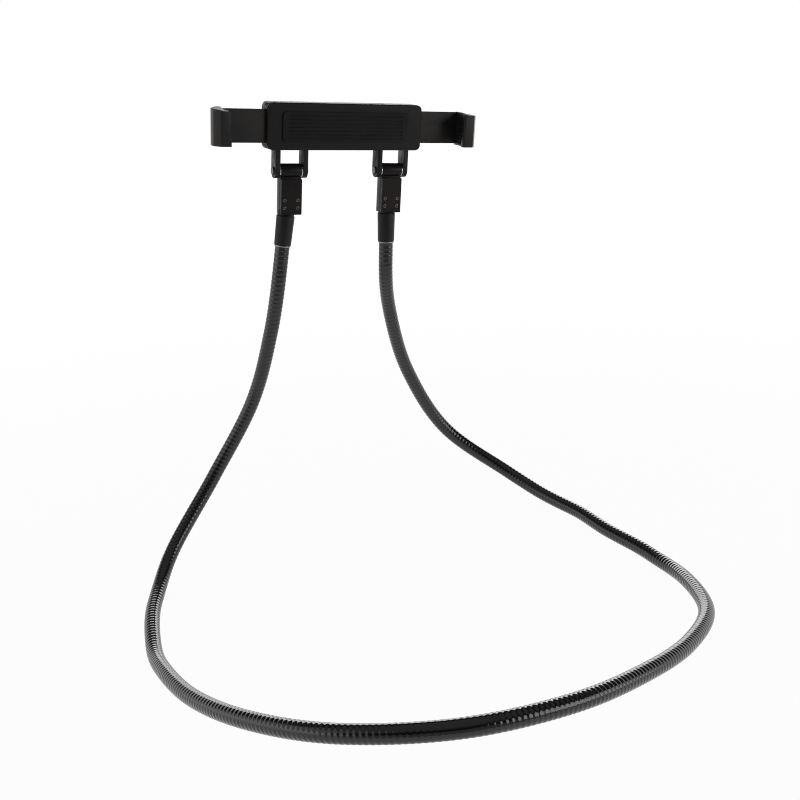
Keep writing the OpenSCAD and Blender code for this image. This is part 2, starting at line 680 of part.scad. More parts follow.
// What is cut from the top of a jaw: the lip's inner corner, and slopes to the front and outside
module jaw_top_cuts(back, tip_cut, side_fall) translate([0, 0, jaw_h / 2]) {
    translate([0, over / 2 - lip_gap, 0]) rotate([90, 0, 0]) linear_extrude(lip_t + over) polygon([
        [-lip_tip_x - tip_cut, 0],
        [-lip_tip_x - tip_cut, over],
        [over - lip_tip_x, over],
        [over - lip_tip_x, -tip_cut],
        [-lip_tip_x, -tip_cut]]);
    rotate([90, 0, 90]) translate([0, 0, -jaw_out_x - over])
        linear_extrude(jaw_out_x - lip_tip_x + 2 * over) polygon([
            [-lip_gap - lip_t - over, -front_fall],
            [-lip_gap - lip_t, -front_fall],
            [back, 0],
            [back, over],
            [-lip_gap - lip_t - over, over]]);
    translate([0, back + over, 0]) rotate([90, 0, 0]) linear_extrude(back + lip_gap + lip_t + 2 * over)
        polygon([
            [-jaw_out_x - over, -side_fall],
            [-jaw_out_x, -side_fall],
            [-lip_tip_x, 0],
            [-lip_tip_x, over],
            [-jaw_out_x - over, over]]);
}

module jaw(back, tip_cut, side_fall) difference() {
    translate([0, 0, -jaw_h / 2]) linear_extrude(jaw_h) jaw_outline(back);
    jaw_top_cuts(back, tip_cut, side_fall);
}

module plate(y, shift_share) translate([0, y + arm_t, 0]) rotate([90, 0, 0])
    linear_extrude(arm_t) arm_plate(shift_share);

module left_arm() color(soft_black) in_cradle() {
    plate(left_arm_y, 0.5);
    jaw(left_arm_y + arm_t, left_tip_cut, lift);
}

module right_arm() color(soft_black) in_cradle() {
    rotate([0, 180, 0]) plate(right_arm_y, 0);
    mirror([1, 0, 0]) jaw(right_arm_y + arm_t, right_tip_cut, outer_fall);
}

module jaw_pad() difference() {
    translate([-jaw_wall_x, 0, -arm_h / 2]) cube([jaw_pad_t, pad_back_y, arm_h - 2 * front_fall]);
    for (k = [1 : grip_count]) translate([-jaw_face_x - grip_depth, -over, jaw_pad_z(k)])
        cube([over, pad_back_y + 2 * over, grip_w]);
}
function jaw_pad_z(k) = -arm_h / 2 + (arm_h - 2 * front_fall) * k / (grip_count + 1) - grip_w / 2;

module left_jaw_pad() color(rubber_black) in_cradle() jaw_pad();
module right_jaw_pad() color(rubber_black) in_cradle() mirror([1, 0, 0]) jaw_pad();

gooseneck_hose();
gooseneck_core();
left_plug();
right_plug();
left_sleeve();
right_sleeve();
left_ferrule();
right_ferrule();
left_block();
right_block();
left_cover();
right_cover();
left_cover_screws();
right_cover_screws();
friction_washers();
left_hinge_pin();
right_hinge_pin();
front_shell();
rear_shell();
rest_pad();
shell_screws();
gear_axle();
return_spring();
gear();
left_arm();
left_jaw_pad();
right_arm();
right_jaw_pad();
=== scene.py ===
"""Looks of a gooseneck device holder: a ribbed tube loop, two end blocks and a tilting cradle."""

import json
import math

import bmesh
import bpy
import numpy as np
from mathutils import Matrix, Vector


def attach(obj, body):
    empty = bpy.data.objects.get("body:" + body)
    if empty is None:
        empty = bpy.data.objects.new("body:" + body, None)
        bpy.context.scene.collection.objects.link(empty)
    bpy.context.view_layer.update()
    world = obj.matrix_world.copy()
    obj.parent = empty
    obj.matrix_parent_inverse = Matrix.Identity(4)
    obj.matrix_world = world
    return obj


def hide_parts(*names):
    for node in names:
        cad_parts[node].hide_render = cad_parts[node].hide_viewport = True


bl_info = {
    "name": "Gooseneck device holder",
    "version": (1, 0, 0),
    "blender": (4, 5, 0),
    "location": "3D View > Sidebar > Holder",
    "description": "Dresses the holder's construction with its ribbed tube, mouldings and finishes",
    "category": "Object",
}

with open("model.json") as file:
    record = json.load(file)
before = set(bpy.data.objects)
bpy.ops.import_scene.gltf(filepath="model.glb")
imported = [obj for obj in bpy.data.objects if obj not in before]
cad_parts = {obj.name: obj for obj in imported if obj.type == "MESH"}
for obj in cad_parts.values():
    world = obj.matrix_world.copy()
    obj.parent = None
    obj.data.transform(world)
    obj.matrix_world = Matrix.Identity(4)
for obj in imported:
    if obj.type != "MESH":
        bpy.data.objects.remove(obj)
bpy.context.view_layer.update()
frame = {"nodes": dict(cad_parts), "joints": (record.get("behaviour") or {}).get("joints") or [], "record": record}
MM = 0.001

# Where the cradle is, from its tilt joint: the joint's axis runs along the housing
TILT = next(joint for joint in frame["joints"] if joint["name"] == "cradle_tilt")
ROLL = math.atan2(TILT["axis"][2], -TILT["axis"][0])
# The tilt axis as seen from the cradle's middle, in mm: to the back and down
TILT_FROM_MIDDLE = Vector((0, 15.65, -27.5))
CRADLE = (Matrix.Translation(Vector(TILT["pos_m"])) @ Matrix.Rotation(ROLL, 4, "Y")
          @ Matrix.Translation(-TILT_FROM_MIDDLE * MM))

# The end blocks and fittings, in mm in the cradle's frame, and the sockets' lean in degrees
BLOCK_X = 34.5
BLOCK_LOW_Z = -54.5
PLUG_OFF = 1.45
PLUG_LEN = 16.0
SOCKET_Y = 15.65
LEFT_LEAN = 5.5
RIGHT_LEAN = 2.0
COLLAR_T = 1.6
LIFT = 0.15
SLEEVE_TOP_R = 5.8
SLEEVE_TIP_R = 5.4
SLEEVE_LEN = 19.0
SLEEVE_EDGE = 0.4
FERRULE_H = 0.8
FERRULE_EDGE = 0.2
# Room between the tube and what goes round it, how far a sleeve's top closes in on it and how high it does so,
# the width and height of the lead-in at its lower end, and how far a ring stands back from its sleeve
TUBE_ROOM = 0.15
SLEEVE_NECK = 0.2
NECK_HEIGHT = 1.2
LEAD_WIDTH = 0.25
LEAD_HEIGHT = 0.3
FERRULE_STEP = 0.1
# Length of tube that runs straight out of a sleeve
HOSE_RUN = 12.0

# The cover screws: radius of the socket and of the shank in shares of the head's, and depths in mm
SOCKET_SHARE = 0.45
SHANK_SHARE = 0.55
SOCKET_DEPTH = 1.1
HEAD_DEPTH = 1.4

# The tube in mm: its radius over the ribs and that of its bore
TUBE_R = 4.75
BORE_R = 2.33

# How finely the tube and the turned pieces are drawn
TUBE_SIDES = 28
RIB_STEPS = 10
LINE_STEP = 0.8
BORE_RINGS = 220
CURVE_STEPS = 24
TURNED_SIDES = 64
SCREW_SIDES = 24

# The loop's middle line: the same points, in the same shares of its size in mm, as the construction
LOOP = Vector((328.0, 338.0, 209.0))
# Height of the middle line where the tube lies on its flats, and the height over which it eases down to it
FLAT_DEPTH = 0.5
REST_Z = TUBE_R * math.cos(math.radians(22.5)) - FLAT_DEPTH
LANDING = 4.0
ROUTE_SHARES = [
    (-0.167, 0.067, 0.719), (-0.206, 0.104, 0.478), (-0.300, 0.109, 0.243), (-0.415, 0.049, 0.059),
    (-0.480, -0.061, -0.012), (-0.514, -0.180, -0.024), (-0.526, -0.301, 0.024), (-0.513, -0.464, 0.090),
    (-0.467, -0.620, 0.166), (-0.382, -0.761, 0.239), (-0.240, -0.851, 0.274), (-0.065, -0.851, 0.243),
    (0.100, -0.800, 0.187), (0.254, -0.724, 0.127), (0.386, -0.616, 0.073), (0.461, -0.465, 0.023),
    (0.476, -0.345, -0.014), (0.460, -0.220, -0.028), (0.449, -0.092, -0.014), (0.385, 0.060, 0.057),
    (0.265, 0.142, 0.220), (0.169, 0.134, 0.469), (0.108, 0.089, 0.719),
]

# The photograph's camera: a square picture of 800 pixels
PHOTO_SIDE = 800
PHOTO_FOCAL_PX = 1083.0
SENSOR_MM = 36.0
CAMERA_FROM_CRADLE = Vector((-261.18, -636.0, 0))
CAMERA_HEIGHT = 364.43
CAMERA_YAW = 25.0
CAMERA_PITCH = 20.0
CAMERA_ROLL = 1.75
CLIP_NEAR = 0.01
CLIP_FAR = 20

# Sizes of the finishes' textures in mm: the height of a grain and of a turning line, and the width of the
# patches that handling has polished
GRAIN_HEIGHT = 0.05
LINE_HEIGHT = 0.02
PATCH_SIZE = 19.0
# How many times longer than wide a metal's lines are
LINE_STRETCH = 40
# How much lighter a plastic becomes where its colour drifts, and the part of its patches over which it shifts to that
# drift, and to the painted warm sheen where a material has one
DRIFT = 1.18
DRIFT_AND_SHEEN_FROM = 0.35
DRIFT_AND_SHEEN_TO = 0.65
# The part of a noise that a finish's whole range of roughness is spread over
GLOSS_FROM = 0.3
GLOSS_TO = 0.7
# A metal's lines: how deep they look, how much its roughness varies along them, and the smoothest that it gets
LINE_DEPTH = 0.15
METAL_SPREAD = 0.12
MIRROR = 0.03

# Edges, by the angle in degrees at which two faces meet: shading is sharp over the first, a moulding's large faces
# are joined by a round over the second, and faces under the third are one flat face
SHARP_ANGLE = 40.0
ROUNDED_ANGLE = 25.0
FLAT_ANGLE = 0.8
ROUND_SEGMENTS = 3
# Radii of the rounds on the smaller mouldings, in mm
COVER_ROUND = 0.35
REST_PAD_ROUND = 0.25
ARM_ROUND = 0.5
JAW_PAD_ROUND = 0.2
# Least area in square mm of a face that gets rounds, on a moulding and on a jaw's pad
ROUNDED_FACE = 2.0
PAD_ROUNDED_FACE = 0.5
# Points nearer than this are one point, in metres: in the scene's own meshes, in the tube, in the frame's nodes
SAME_POINT = 1e-7
SAME_TUBE_POINT = 2e-7
SAME_NODE_POINT = 1e-6

# Reach of the floor in metres. It ends just in front of the object, and the room beyond its front edge is dim
FLOOR_REACH = 6
FLOOR_FRONT = -0.45
# Share of the floor's own shade that the picture keeps near the object, and the distances over which it fades out
SHADE_KEPT = 0.04
SHADE_FULL = 0.25
SHADE_GONE = 0.9
# The room: a pale ceiling over dark walls, in strengths of its light and in shares of the way up
CEILING_LIGHT = 0.40
WALL_LIGHT = 0.04
CEILING_FROM = 0.55
CEILING_FULL = 0.85
ROOM_COLOUR = "#f4f6fa"
# The white backdrop, which reflections show as well: it ends low, and is dimmer in front than behind
BACKDROP_FULL = 0.26
BACKDROP_END = 0.38
FRONT_SHARE = 0.4
FRONT_END = -0.55
BEHIND_FROM = 0.10
# The soft panels: place and size in metres, share of the panels' level, and colour. The last one is a pale wall
PANELS = {
    "right_panel": ((1.0, -0.9, 0.42), (1.0, 0.7), 1.0, "#ffffff"),
    "back_right_panel": ((0.45, 1.05, 0.27), (1.2, 0.5), 1.0, "#ffffff"),
    "left_wall": ((-1.1, 0.22, 0.50), (1.3, 1.0), 0.3, "#f6f2ee"),
}
# The point that the panels face, in the middle of the holder
LIT_POINT = (0, 0, 0.12)
# Width of the pixel filter in pixels: a crisp picture, in which fine ribs still part
PIXEL_FILTER = 1.0


def linear(code):
    """The linear colour of an sRGB hex code, with its alpha."""
    parts = [int(code[i:i + 2], 16) / 255 for i in (1, 3, 5)]
    return tuple(p / 12.92 if p <= 0.04045 else ((p + 0.055) / 1.055) ** 2.4 for p in parts) + (1.0,)


def srgb(code):
    """The same colour as bpy's gamma-corrected colour properties hold it, without alpha."""
    return tuple(int(code[i:i + 2], 16) / 255 for i in (1, 3, 5))


def hex_of(colour):
    """The hex code of one of bpy's gamma-corrected colours."""
    return "#" + "".join(f"{round(max(0.0, min(1.0, part)) * 255):02x}" for part in colour)


class HolderLook(bpy.types.PropertyGroup):
    """Sizes and colours of the holder that a user would change."""

    rib_pitch: bpy.props.FloatProperty(
        name="Rib pitch", description="Distance from one rib of the tube to the next, in millimetres",
        default=2.95, min=1.5, max=6.0)
    rib_depth: bpy.props.FloatProperty(
        name="Groove depth", description="Depth of the groove between two ribs, in millimetres",
        default=0.14, min=0.05, max=1.0)
    edge_round: bpy.props.FloatProperty(
        name="Edge rounding", description="Radius of the mouldings' outer edges, in millimetres",
        default=0.7, min=0.1, max=2.0)
    tube_colour: bpy.props.FloatVectorProperty(
        name="Tube colour", description="Colour of the ribbed tube", subtype="COLOR_GAMMA",
        size=3, default=srgb("#0f0f0f"), min=0, max=1)
    block_colour: bpy.props.FloatVectorProperty(
        name="Block colour", description="Colour of the end blocks", subtype="COLOR_GAMMA",
        size=3, default=srgb("#151414"), min=0, max=1)
    housing_colour: bpy.props.FloatVectorProperty(
        name="Housing colour", description="Colour of the cradle's housing", subtype="COLOR_GAMMA",
        size=3, default=srgb("#171718"), min=0, max=1)
    jaw_colour: bpy.props.FloatVectorProperty(
        name="Jaw colour", description="Colour of the sliding arms and jaws", subtype="COLOR_GAMMA",
        size=3, default=srgb("#222123"), min=0, max=1)


class HolderStage(bpy.types.PropertyGroup):
    """The plain stage around the holder."""

    floor_colour: bpy.props.FloatVectorProperty(
        name="Floor colour", description="Colour of the floor and of what lies behind it",
        subtype="COLOR_GAMMA", size=3, default=srgb("#ffffff"), min=0, max=1)
    panel_level: bpy.props.FloatProperty(
        name="Panel light", description="Brightness of the soft light panels, as a multiple of the white backdrop",
        default=3.0, min=0, max=20)


def look():
    """The sizes and colours that the user has set."""
    return bpy.context.scene.holder_look


# Materials


def add(tree, kind, links=(), **settings):
    """Adds a node, sets its properties or inputs by name, and links its inputs from sockets."""
    node = tree.nodes.new("ShaderNode" + kind)
    for name, value in settings.items():
        if hasattr(node, name):
            setattr(node, name, value)
        else:
            node.inputs[name.replace("_", " ")].default_value = value
    for name, socket in dict(links).items():
        tree.links.new(socket, node.inputs[name])
    return node


def new_material(name):
    """A material with nothing in it but its output."""
    material = bpy.data.materials.new(name)
    material.use_nodes = True
    tree = material.node_tree
    tree.nodes.clear()
    return material, tree, add(tree, "OutputMaterial")


def per_metre(size_mm):
    """The scale of a texture whose features are a given size across."""
    return 1.0 / (size_mm * MM)


def moulded(name, code, roughness, grain_mm, grain_depth, dust=0.10, shine=0.5, painted_sheen=None):
    """A moulded thermoplastic: spark-eroded grain as bump, handled patches that shine more,
    and a slight drift of colour from flow in the mould. Where a sheen colour is given, the patches take that
    painted warm sheen in place of the drift."""
    material, tree, out = new_material(name)
    place = add(tree, "TexCoord").outputs["Object"]
    grain = add(tree, "TexNoise", {"Vector": place}, Scale=per_metre(grain_mm), Detail=3.0, Roughness=0.6)
    patches = add(tree, "TexNoise", {"Vector": place}, Scale=per_metre(PATCH_SIZE), Detail=4.0, Roughness=0.55)
    base = linear(code)
    # A given sheen colour is a painted warm sheen, which the patches take in place of the drift
    other = linear(painted_sheen) if painted_sheen else tuple(part * DRIFT for part in base[:3]) + (1.0,)
    drift_and_sheen = add(tree, "MapRange", {"Value": patches.outputs["Fac"]}, clamp=True,
                From_Min=DRIFT_AND_SHEEN_FROM, From_Max=DRIFT_AND_SHEEN_TO)
    tint = add(tree, "Mix", {"Factor": drift_and_sheen.outputs["Result"]}, data_type="RGBA", blend_type="MIX", A=base, B=other)
    gloss = add(tree, "MapRange", {"Value": patches.outputs["Fac"]}, clamp=True,
                From_Min=GLOSS_FROM, From_Max=GLOSS_TO, To_Min=roughness - dust / 2, To_Max=roughness + dust / 2)
    bump = add(tree, "Bump", {"Height": grain.outputs["Fac"]}, Strength=grain_depth, Distance=GRAIN_HEIGHT * MM)
    shader = add(tree, "BsdfPrincipled", {"Base Color": tint.outputs["Result"], "Roughness": gloss.outputs["Result"],
                                          "Normal": bump.outputs["Normal"]}, Specular_IOR_Level=shine)
    tree.links.new(shader.outputs["BSDF"], out.inputs["Surface"])
    return material


def metal(name, code, roughness, line_mm, axis):
    """A bare or plated metal with the fine lines of its turning or drawing, square to an axis."""
    material, tree, out = new_material(name)
    stretch = [per_metre(line_mm * LINE_STRETCH)] * 3
    stretch["XYZ".index(axis)] = per_metre(line_mm)
    mapped = add(tree, "Mapping", {"Vector": add(tree, "TexCoord").outputs["Object"]}, Scale=stretch)
    lines = add(tree, "TexNoise", {"Vector": mapped.outputs["Vector"]}, Scale=1.0, Detail=2.0)
    gloss = add(tree, "MapRange", {"Value": lines.outputs["Fac"]}, clamp=True, From_Min=GLOSS_FROM, From_Max=GLOSS_TO,
                To_Min=max(MIRROR, roughness - METAL_SPREAD / 2), To_Max=roughness + METAL_SPREAD / 2)
    bump = add(tree, "Bump", {"Height": lines.outputs["Fac"]}, Strength=LINE_DEPTH, Distance=LINE_HEIGHT * MM)
    shader = add(tree, "BsdfPrincipled", {"Roughness": gloss.outputs["Result"], "Normal": bump.outputs["Normal"]},
                 Metallic=1.0, Base_Color=linear(code))
    tree.links.new(shader.outputs["BSDF"], out.inputs["Surface"])
    return material


MATERIALS = {}


def material(name):
    """Each material is made once, when the first piece asks for it."""
    if name not in MATERIALS:
        MATERIALS[name] = RECIPES[name](name)
    return MATERIALS[name]


RECIPES = {
    # Extruded soft PVC: a wet-looking skin, with handling marks that dull it in places
    "extruded_pvc": lambda name: moulded(name, hex_of(look().tube_colour), 0.14, 1.6, 0.02, dust=0.05),
    # Moulded ABS with a fine spark grain: an even satin that catches a soft edge light
    "grained_abs": lambda name: moulded(name, hex_of(look().housing_colour), 0.46, 0.28, 0.20, shine=0.16),
    # Moulded ABS of the blocks: satin, with a faint brown cast that is a painted warm sheen, laid on in patches
    "satin_abs": lambda name: moulded(name, hex_of(look().block_colour), 0.40, 0.35, 0.12, shine=0.14,
                                      painted_sheen="#211a18"),
    # Glass-filled nylon of the jaws: a little lighter and duller than the housing, with a painted warm sheen in
    # patches
    "filled_nylon": lambda name: moulded(name, hex_of(look().jaw_colour), 0.42, 0.30, 0.16, shine=0.20,
                                         painted_sheen="#2a2622"),
    # Thermoplastic elastomer of the sleeves: soft and matt, with a broad sheen
    "moulded_elastomer": lambda name: moulded(name, "#161617", 0.48, 0.40, 0.14, shine=0.22),
    # Silicone rubber of the pads: nearly black and dull
    "silicone_rubber": lambda name: moulded(name, "#111111", 0.62, 0.22, 0.30, shine=0.18),
    # Natural acetal of the gear: waxy off-white
    "natural_acetal": lambda name: moulded(name, "#d9d5c9", 0.35, 0.5, 0.08),
    # Nickel-plated brass of the rings: bright with fine turning lines
    "nickel_plate": lambda name: metal(name, "#8d8c89", 0.30, 0.12, "Z"),
    # Turned aluminium of the plugs and drawn wire of the core
    "turned_aluminium": lambda name: metal(name, "#c4c6c8", 0.32, 0.15, "Z"),
    # Ground steel of the pins and washers
    "ground_steel": lambda name: metal(name, "#b4b5b8", 0.26, 0.10, "X"),
    # Black-oxide steel of the screws: dark with a metal glint
    "black_oxide_steel": lambda name: metal(name, "#605f5c", 0.42, 0.20, "X"),
    # Blued spring steel of the coil
    "blued_spring_steel": lambda name: metal(name, "#6d7480", 0.30, 0.20, "Y"),
}


def finish_with(piece, name):
    """Gives a piece one material on all its faces."""
    piece.data.materials.clear()
    piece.data.materials.append(material(name))
    for face in piece.data.polygons:
        face.material_index = 0


def body_of(node):
    """The body that the record puts a node on."""
    for body, names in frame["record"]["behaviour"]["bodies"].items():
        if node in names:
            return body
    raise ValueError("no body for " + node)


def stand_for(piece, node, finish):
    """A finished piece takes a node's place, on its body."""
    finish_with(piece, finish)
    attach(piece, body_of(node))
    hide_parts(node)


def linked(name, data):
    """A new object of the scene for a mesh, a light or a camera."""
    made = bpy.data.objects.new(name, data)
    bpy.context.scene.collection.objects.link(made)
    return made


def new_piece(name, points, faces, smooth=True):
    """A mesh object from points in metres, with merged doubles and outward faces."""
    mesh = bpy.data.meshes.new(name)
    mesh.from_pydata([tuple(p) for p in points], [], faces)
    tidy = bmesh.new()
    tidy.from_mesh(mesh)
    bmesh.ops.remove_doubles(tidy, verts=tidy.verts, dist=SAME_POINT)
    bmesh.ops.dissolve_degenerate(tidy, edges=tidy.edges, dist=SAME_POINT)
    bmesh.ops.recalc_face_normals(tidy, faces=tidy.faces)
    tidy.to_mesh(mesh)
    tidy.free()
    for face in mesh.polygons:
        face.use_smooth = smooth
    return linked(name, mesh)


# The gooseneck


def fitting(side):
    """The frame of an end fitting: its origin at the lower face of the block's boss, Z up the socket."""
    lean = math.radians(LEFT_LEAN if side < 0 else RIGHT_LEAN)
    drop = SLEEVE_TOP_R * math.tan(lean) + 2 * LIFT
    mouth_x = side * (BLOCK_X + PLUG_LEN / 2 * math.tan(lean)) - PLUG_OFF
    mouth = Vector((mouth_x, SOCKET_Y, BLOCK_LOW_Z - drop)) * MM
    return CRADLE @ Matrix.Translation(mouth) @ Matrix.Rotation(-side * lean, 4, "Y")


def catmull(a, b, c, d, t):
    """A point on the curve from b to c, with a and d as its neighbours."""
    return 0.5 * (2 * b + (c - a) * t + (2 * a - 5 * b + 4 * c - d) * t * t
                  + (3 * b - a - 3 * c + d) * t ** 3)


def loop_line():
    """The tube's middle line from the left fitting round to the right one, as points in metres."""
    middle = CRADLE.translation
    ends = []
    for side in (-1, 1):
        place = fitting(side)
        down = -np.array(place.to_3x3().col[2])
        mouth = np.array(place.translation)
        ends.append((mouth + down * (COLLAR_T + LIFT) * MM, mouth + down * (SLEEVE_LEN + HOSE_RUN) * MM, down))
    bends = [np.array((middle.x + sx * LOOP.x * MM, middle.y + sy * LOOP.y * MM, (sz * LOOP.z + REST_Z) * MM))
             for sx, sy, sz in ROUTE_SHARES]
    (left_start, left_top, left_down), (right_start, right_top, right_down) = ends
    before = bends[0] - 2 * np.linalg.norm(bends[0] - left_top) * left_down
    after = bends[-1] - 2 * np.linalg.norm(bends[-1] - right_top) * right_down
    knots = [before, left_top] + bends + [right_top, after]
    steps = np.linspace(0, 1, CURVE_STEPS, endpoint=False)
    curve = [catmull(*knots[i - 1:i + 3], t) for i in range(1, len(knots) - 2) for t in steps]
    line = np.array([left_start] + curve + [right_top, right_start])
    rise = line[:, 2] / MM - REST_Z
    eased = np.where(rise < -LANDING, 0, np.where(rise > LANDING, rise, (rise + LANDING) ** 2 / (4 * LANDING)))
    line[:, 2] = (REST_Z + eased) * MM
    return line


def frames_along(line, step):
    """Evenly spaced points on a line, with two crosswise directions that don't twist."""
    marks = np.concatenate([[0], np.cumsum(np.linalg.norm(np.diff(line, axis=0), axis=1))])
    length = marks[-1]
    at = np.linspace(0, length, max(2, int(length / step)))
    points = np.stack([np.interp(at, marks, line[:, k]) for k in range(3)], axis=1)
    tangents = np.gradient(points, axis=0)
    tangents /= np.linalg.norm(tangents, axis=1)[:, None]
    side = np.cross(tangents[0], (0.0, 1.0, 0.0))
    sides = []
    for t in tangents:
        side = side - t * np.dot(side, t)
        side /= np.linalg.norm(side)
        sides.append(side)
    sides = np.array(sides)
    return at, points, sides, np.cross(tangents, sides), length


def on_frames(frames, s, angle, radius):
    """Points of a tube at distances along it, angles round it and radii."""
    at, points, sides, ups, _ = frames

    def along(field):
        return np.stack([np.interp(s, at, field[:, k]) for k in range(3)], axis=-1)

    return along(points) + radius[..., None] * (np.cos(angle)[..., None] * along(sides)
                                                + np.sin(angle)[..., None] * along(ups))


def rib_profile():
    """Shares of the pitch and of the groove's depth along one rib, which is a shallow wave."""
    return [(x, 0.5 + 0.5 * math.cos(2 * math.pi * x)) for x in np.arange(RIB_STEPS) / RIB_STEPS]


def ribbed_skin():
    """The tube's outer skin: one helical rib wound on the middle line."""
    frames = frames_along(loop_line(), LINE_STEP * MM)
    length = frames[-1]
    turns = round(length / (look().rib_pitch * MM))
    pitch = length / turns
    profile = rib_profile()
    rows = [(m + share, deep) for m in range(-1, turns + 1) for share, deep in profile]
    start = np.array([row[0] for row in rows]) * pitch
    deep = np.array([row[1] for row in rows]) * look().rib_depth
    turn = np.arange(TUBE_SIDES) / TUBE_SIDES
    s = start[:, None] + turn[None, :] * pitch
    radius = np.where((s > 0) & (s < length), TUBE_R - deep[:, None], TUBE_R) * MM
    s = np.clip(s, 0, length)
    angle = np.broadcast_to(turn * 2 * math.pi, s.shape)
    outer = on_frames(frames, s, angle, radius)
    outer[..., 2] = np.maximum(outer[..., 2], 0)
    points = outer.reshape(-1, 3)
    count, per_turn = len(rows), len(profile)

    def at(i, j):
        return i * TUBE_SIDES + j if j < TUBE_SIDES else (i + per_turn) * TUBE_SIDES + j - TUBE_SIDES

    faces = [(at(i, j), at(i, j + 1), at(i + 1, j + 1), at(i + 1, j))
             for i in range(count - 1 - per_turn) for j in range(TUBE_SIDES)]
    return frames, points, faces


def tube_piece():
    """The tube: its ribbed skin, its smooth bore and the ring face at each end."""
    frames, points, faces = ribbed_skin()
    piece = new_piece("ribbed_tube", points, faces)
    mesh = bmesh.new()
    mesh.from_mesh(piece.data)
    angle = np.arange(TUBE_SIDES) / TUBE_SIDES * 2 * math.pi
    stations = np.linspace(0, frames[-1], BORE_RINGS)
    rings = []
    for s in stations:
        ring = on_frames(frames, np.full(TUBE_SIDES, s), angle, np.full(TUBE_SIDES, BORE_R * MM))
        rings.append([mesh.verts.new(p) for p in ring])
    for a, b in zip(rings[:-1], rings[1:]):
        for j in range(TUBE_SIDES):
            k = (j + 1) % TUBE_SIDES
            mesh.faces.new((a[j], b[j], b[k], a[k]))
    for ring, s in ((rings[0], 0.0), (rings[-1], frames[-1])):
        rim = on_frames(frames, np.full(TUBE_SIDES, s), angle, np.full(TUBE_SIDES, TUBE_R * MM))
        outer = [mesh.verts.new(p) for p in rim]
        for j in range(TUBE_SIDES):
            k = (j + 1) % TUBE_SIDES
            mesh.faces.new((ring[j], ring[k], outer[k], outer[j]))
    bmesh.ops.remove_doubles(mesh, verts=mesh.verts, dist=SAME_TUBE_POINT)
    bmesh.ops.recalc_face_normals(mesh, faces=mesh.faces)
    mesh.to_mesh(piece.data)
    mesh.free()
    for face in piece.data.polygons:
        face.use_smooth = True
    return piece


# Turned and moulded pieces


def turned(outline, place, sides):
    """Points and faces of a closed outline of radius and height pairs in mm, turned round a place's Z axis."""
    points, faces = [], []
    count = len(outline)
    for j in range(sides):
        a = 2 * math.pi * j / sides
        for r, z in outline:
            points.append(place @ (Vector((r * math.cos(a), r * math.sin(a), z)) * MM))
    for j in range(sides):
        k = (j + 1) % sides
        for i in range(count):
            n = (i + 1) % count
            faces.append((j * count + i, k * count + i, k * count + n, j * count + n))
    return points, faces


def revolved(name, outline, place):
    """A piece from a closed outline that is turned round the Z axis of a place."""
    return new_piece(name, *turned(outline, place, TURNED_SIDES))


def arc(cx, cz, r, start, end, steps=5):
    """Points of an arc, from one angle to another in degrees."""
    return [(cx + r * math.cos(math.radians(start + (end - start) * i / steps)),
             cz + r * math.sin(math.radians(start + (end - start) * i / steps))) for i in range(steps + 1)]


def sleeve_outline():
    """Half section of a sleeve: rounded at both ends, tapered between, hollow for the tube."""
    bore, neck = TUBE_R + TUBE_ROOM, TUBE_R - SLEEVE_NECK
    top, low, edge = -LIFT, -SLEEVE_LEN, SLEEVE_EDGE
    return ([(bore, low + LEAD_HEIGHT), (bore + LEAD_WIDTH, low)]
            + arc(SLEEVE_TIP_R - edge, low + edge, edge, -90, 0)
            + arc(SLEEVE_TOP_R - edge, top - edge, edge, 0, 90)
            + [(neck, top), (neck, top - NECK_HEIGHT), (bore, top - COLLAR_T)])


def ferrule_outline():
    """Half section of the bright ring: a flat band with rolled edges."""
    inner, outer, low = TUBE_R + TUBE_ROOM, SLEEVE_TIP_R - FERRULE_STEP, -SLEEVE_LEN - FERRULE_H
    edge = FERRULE_EDGE
    return ([(inner, -SLEEVE_LEN), (inner, low)]
            + arc(outer - edge, low + edge, edge, -90, 0, 4)
            + arc(outer - edge, -SLEEVE_LEN - edge, edge, 0, 90, 4))


def screw_outline(head_r, length):
    """Half section of a screw with a round socket in its low head. Its front lies at zero."""
    socket_r, shank_r = SOCKET_SHARE * head_r, SHANK_SHARE * head_r
    return [(0, -SOCKET_DEPTH), (socket_r * 0.9, -SOCKET_DEPTH), (socket_r, -0.1), (socket_r * 1.15, 0),
            (head_r * 0.8, -0.04), (head_r * 0.95, -0.12), (head_r, -0.28), (head_r, -HEAD_DEPTH),
            (shank_r, -HEAD_DEPTH), (shank_r, -length), (0, -length)]


def loose_parts(node):
    """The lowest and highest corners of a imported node's separate parts, from left to right."""
    mesh = bmesh.new()
    mesh.from_mesh(frame["nodes"][node].data)
    bmesh.ops.remove_doubles(mesh, verts=mesh.verts, dist=SAME_NODE_POINT)
    boxes, seen = [], set()
    for first in mesh.verts:
        if first in seen:
            continue
        seen.add(first)
        part, waiting = [], [first]
        while waiting:
            vert = waiting.pop()
            part.append(tuple(vert.co))
            fresh = [edge.other_vert(vert) for edge in vert.link_edges if edge.other_vert(vert) not in seen]
            seen.update(fresh)
            waiting += fresh
        boxes.append((np.min(part, axis=0), np.max(part, axis=0)))
    mesh.free()
    return sorted(boxes, key=lambda box: tuple(np.round(box[0], 5)))


def socket_screws(node):
    """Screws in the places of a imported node's loose parts, which point along Y."""
    points, faces = [], []
    for low, high in loose_parts(node):
        place = Matrix.Translation(((low[0] + high[0]) / 2, low[1], (low[2] + high[2]) / 2))
        outline = screw_outline((high[0] - low[0]) / 2 / MM, (high[1] - low[1]) / MM)
        screw_points, screw_faces = turned(outline, place @ Matrix.Rotation(math.pi / 2, 4, "X"), SCREW_SIDES)
        faces += [tuple(i + len(points) for i in face) for face in screw_faces]
        points += screw_points
    return new_piece(node + "_turned", points, faces)


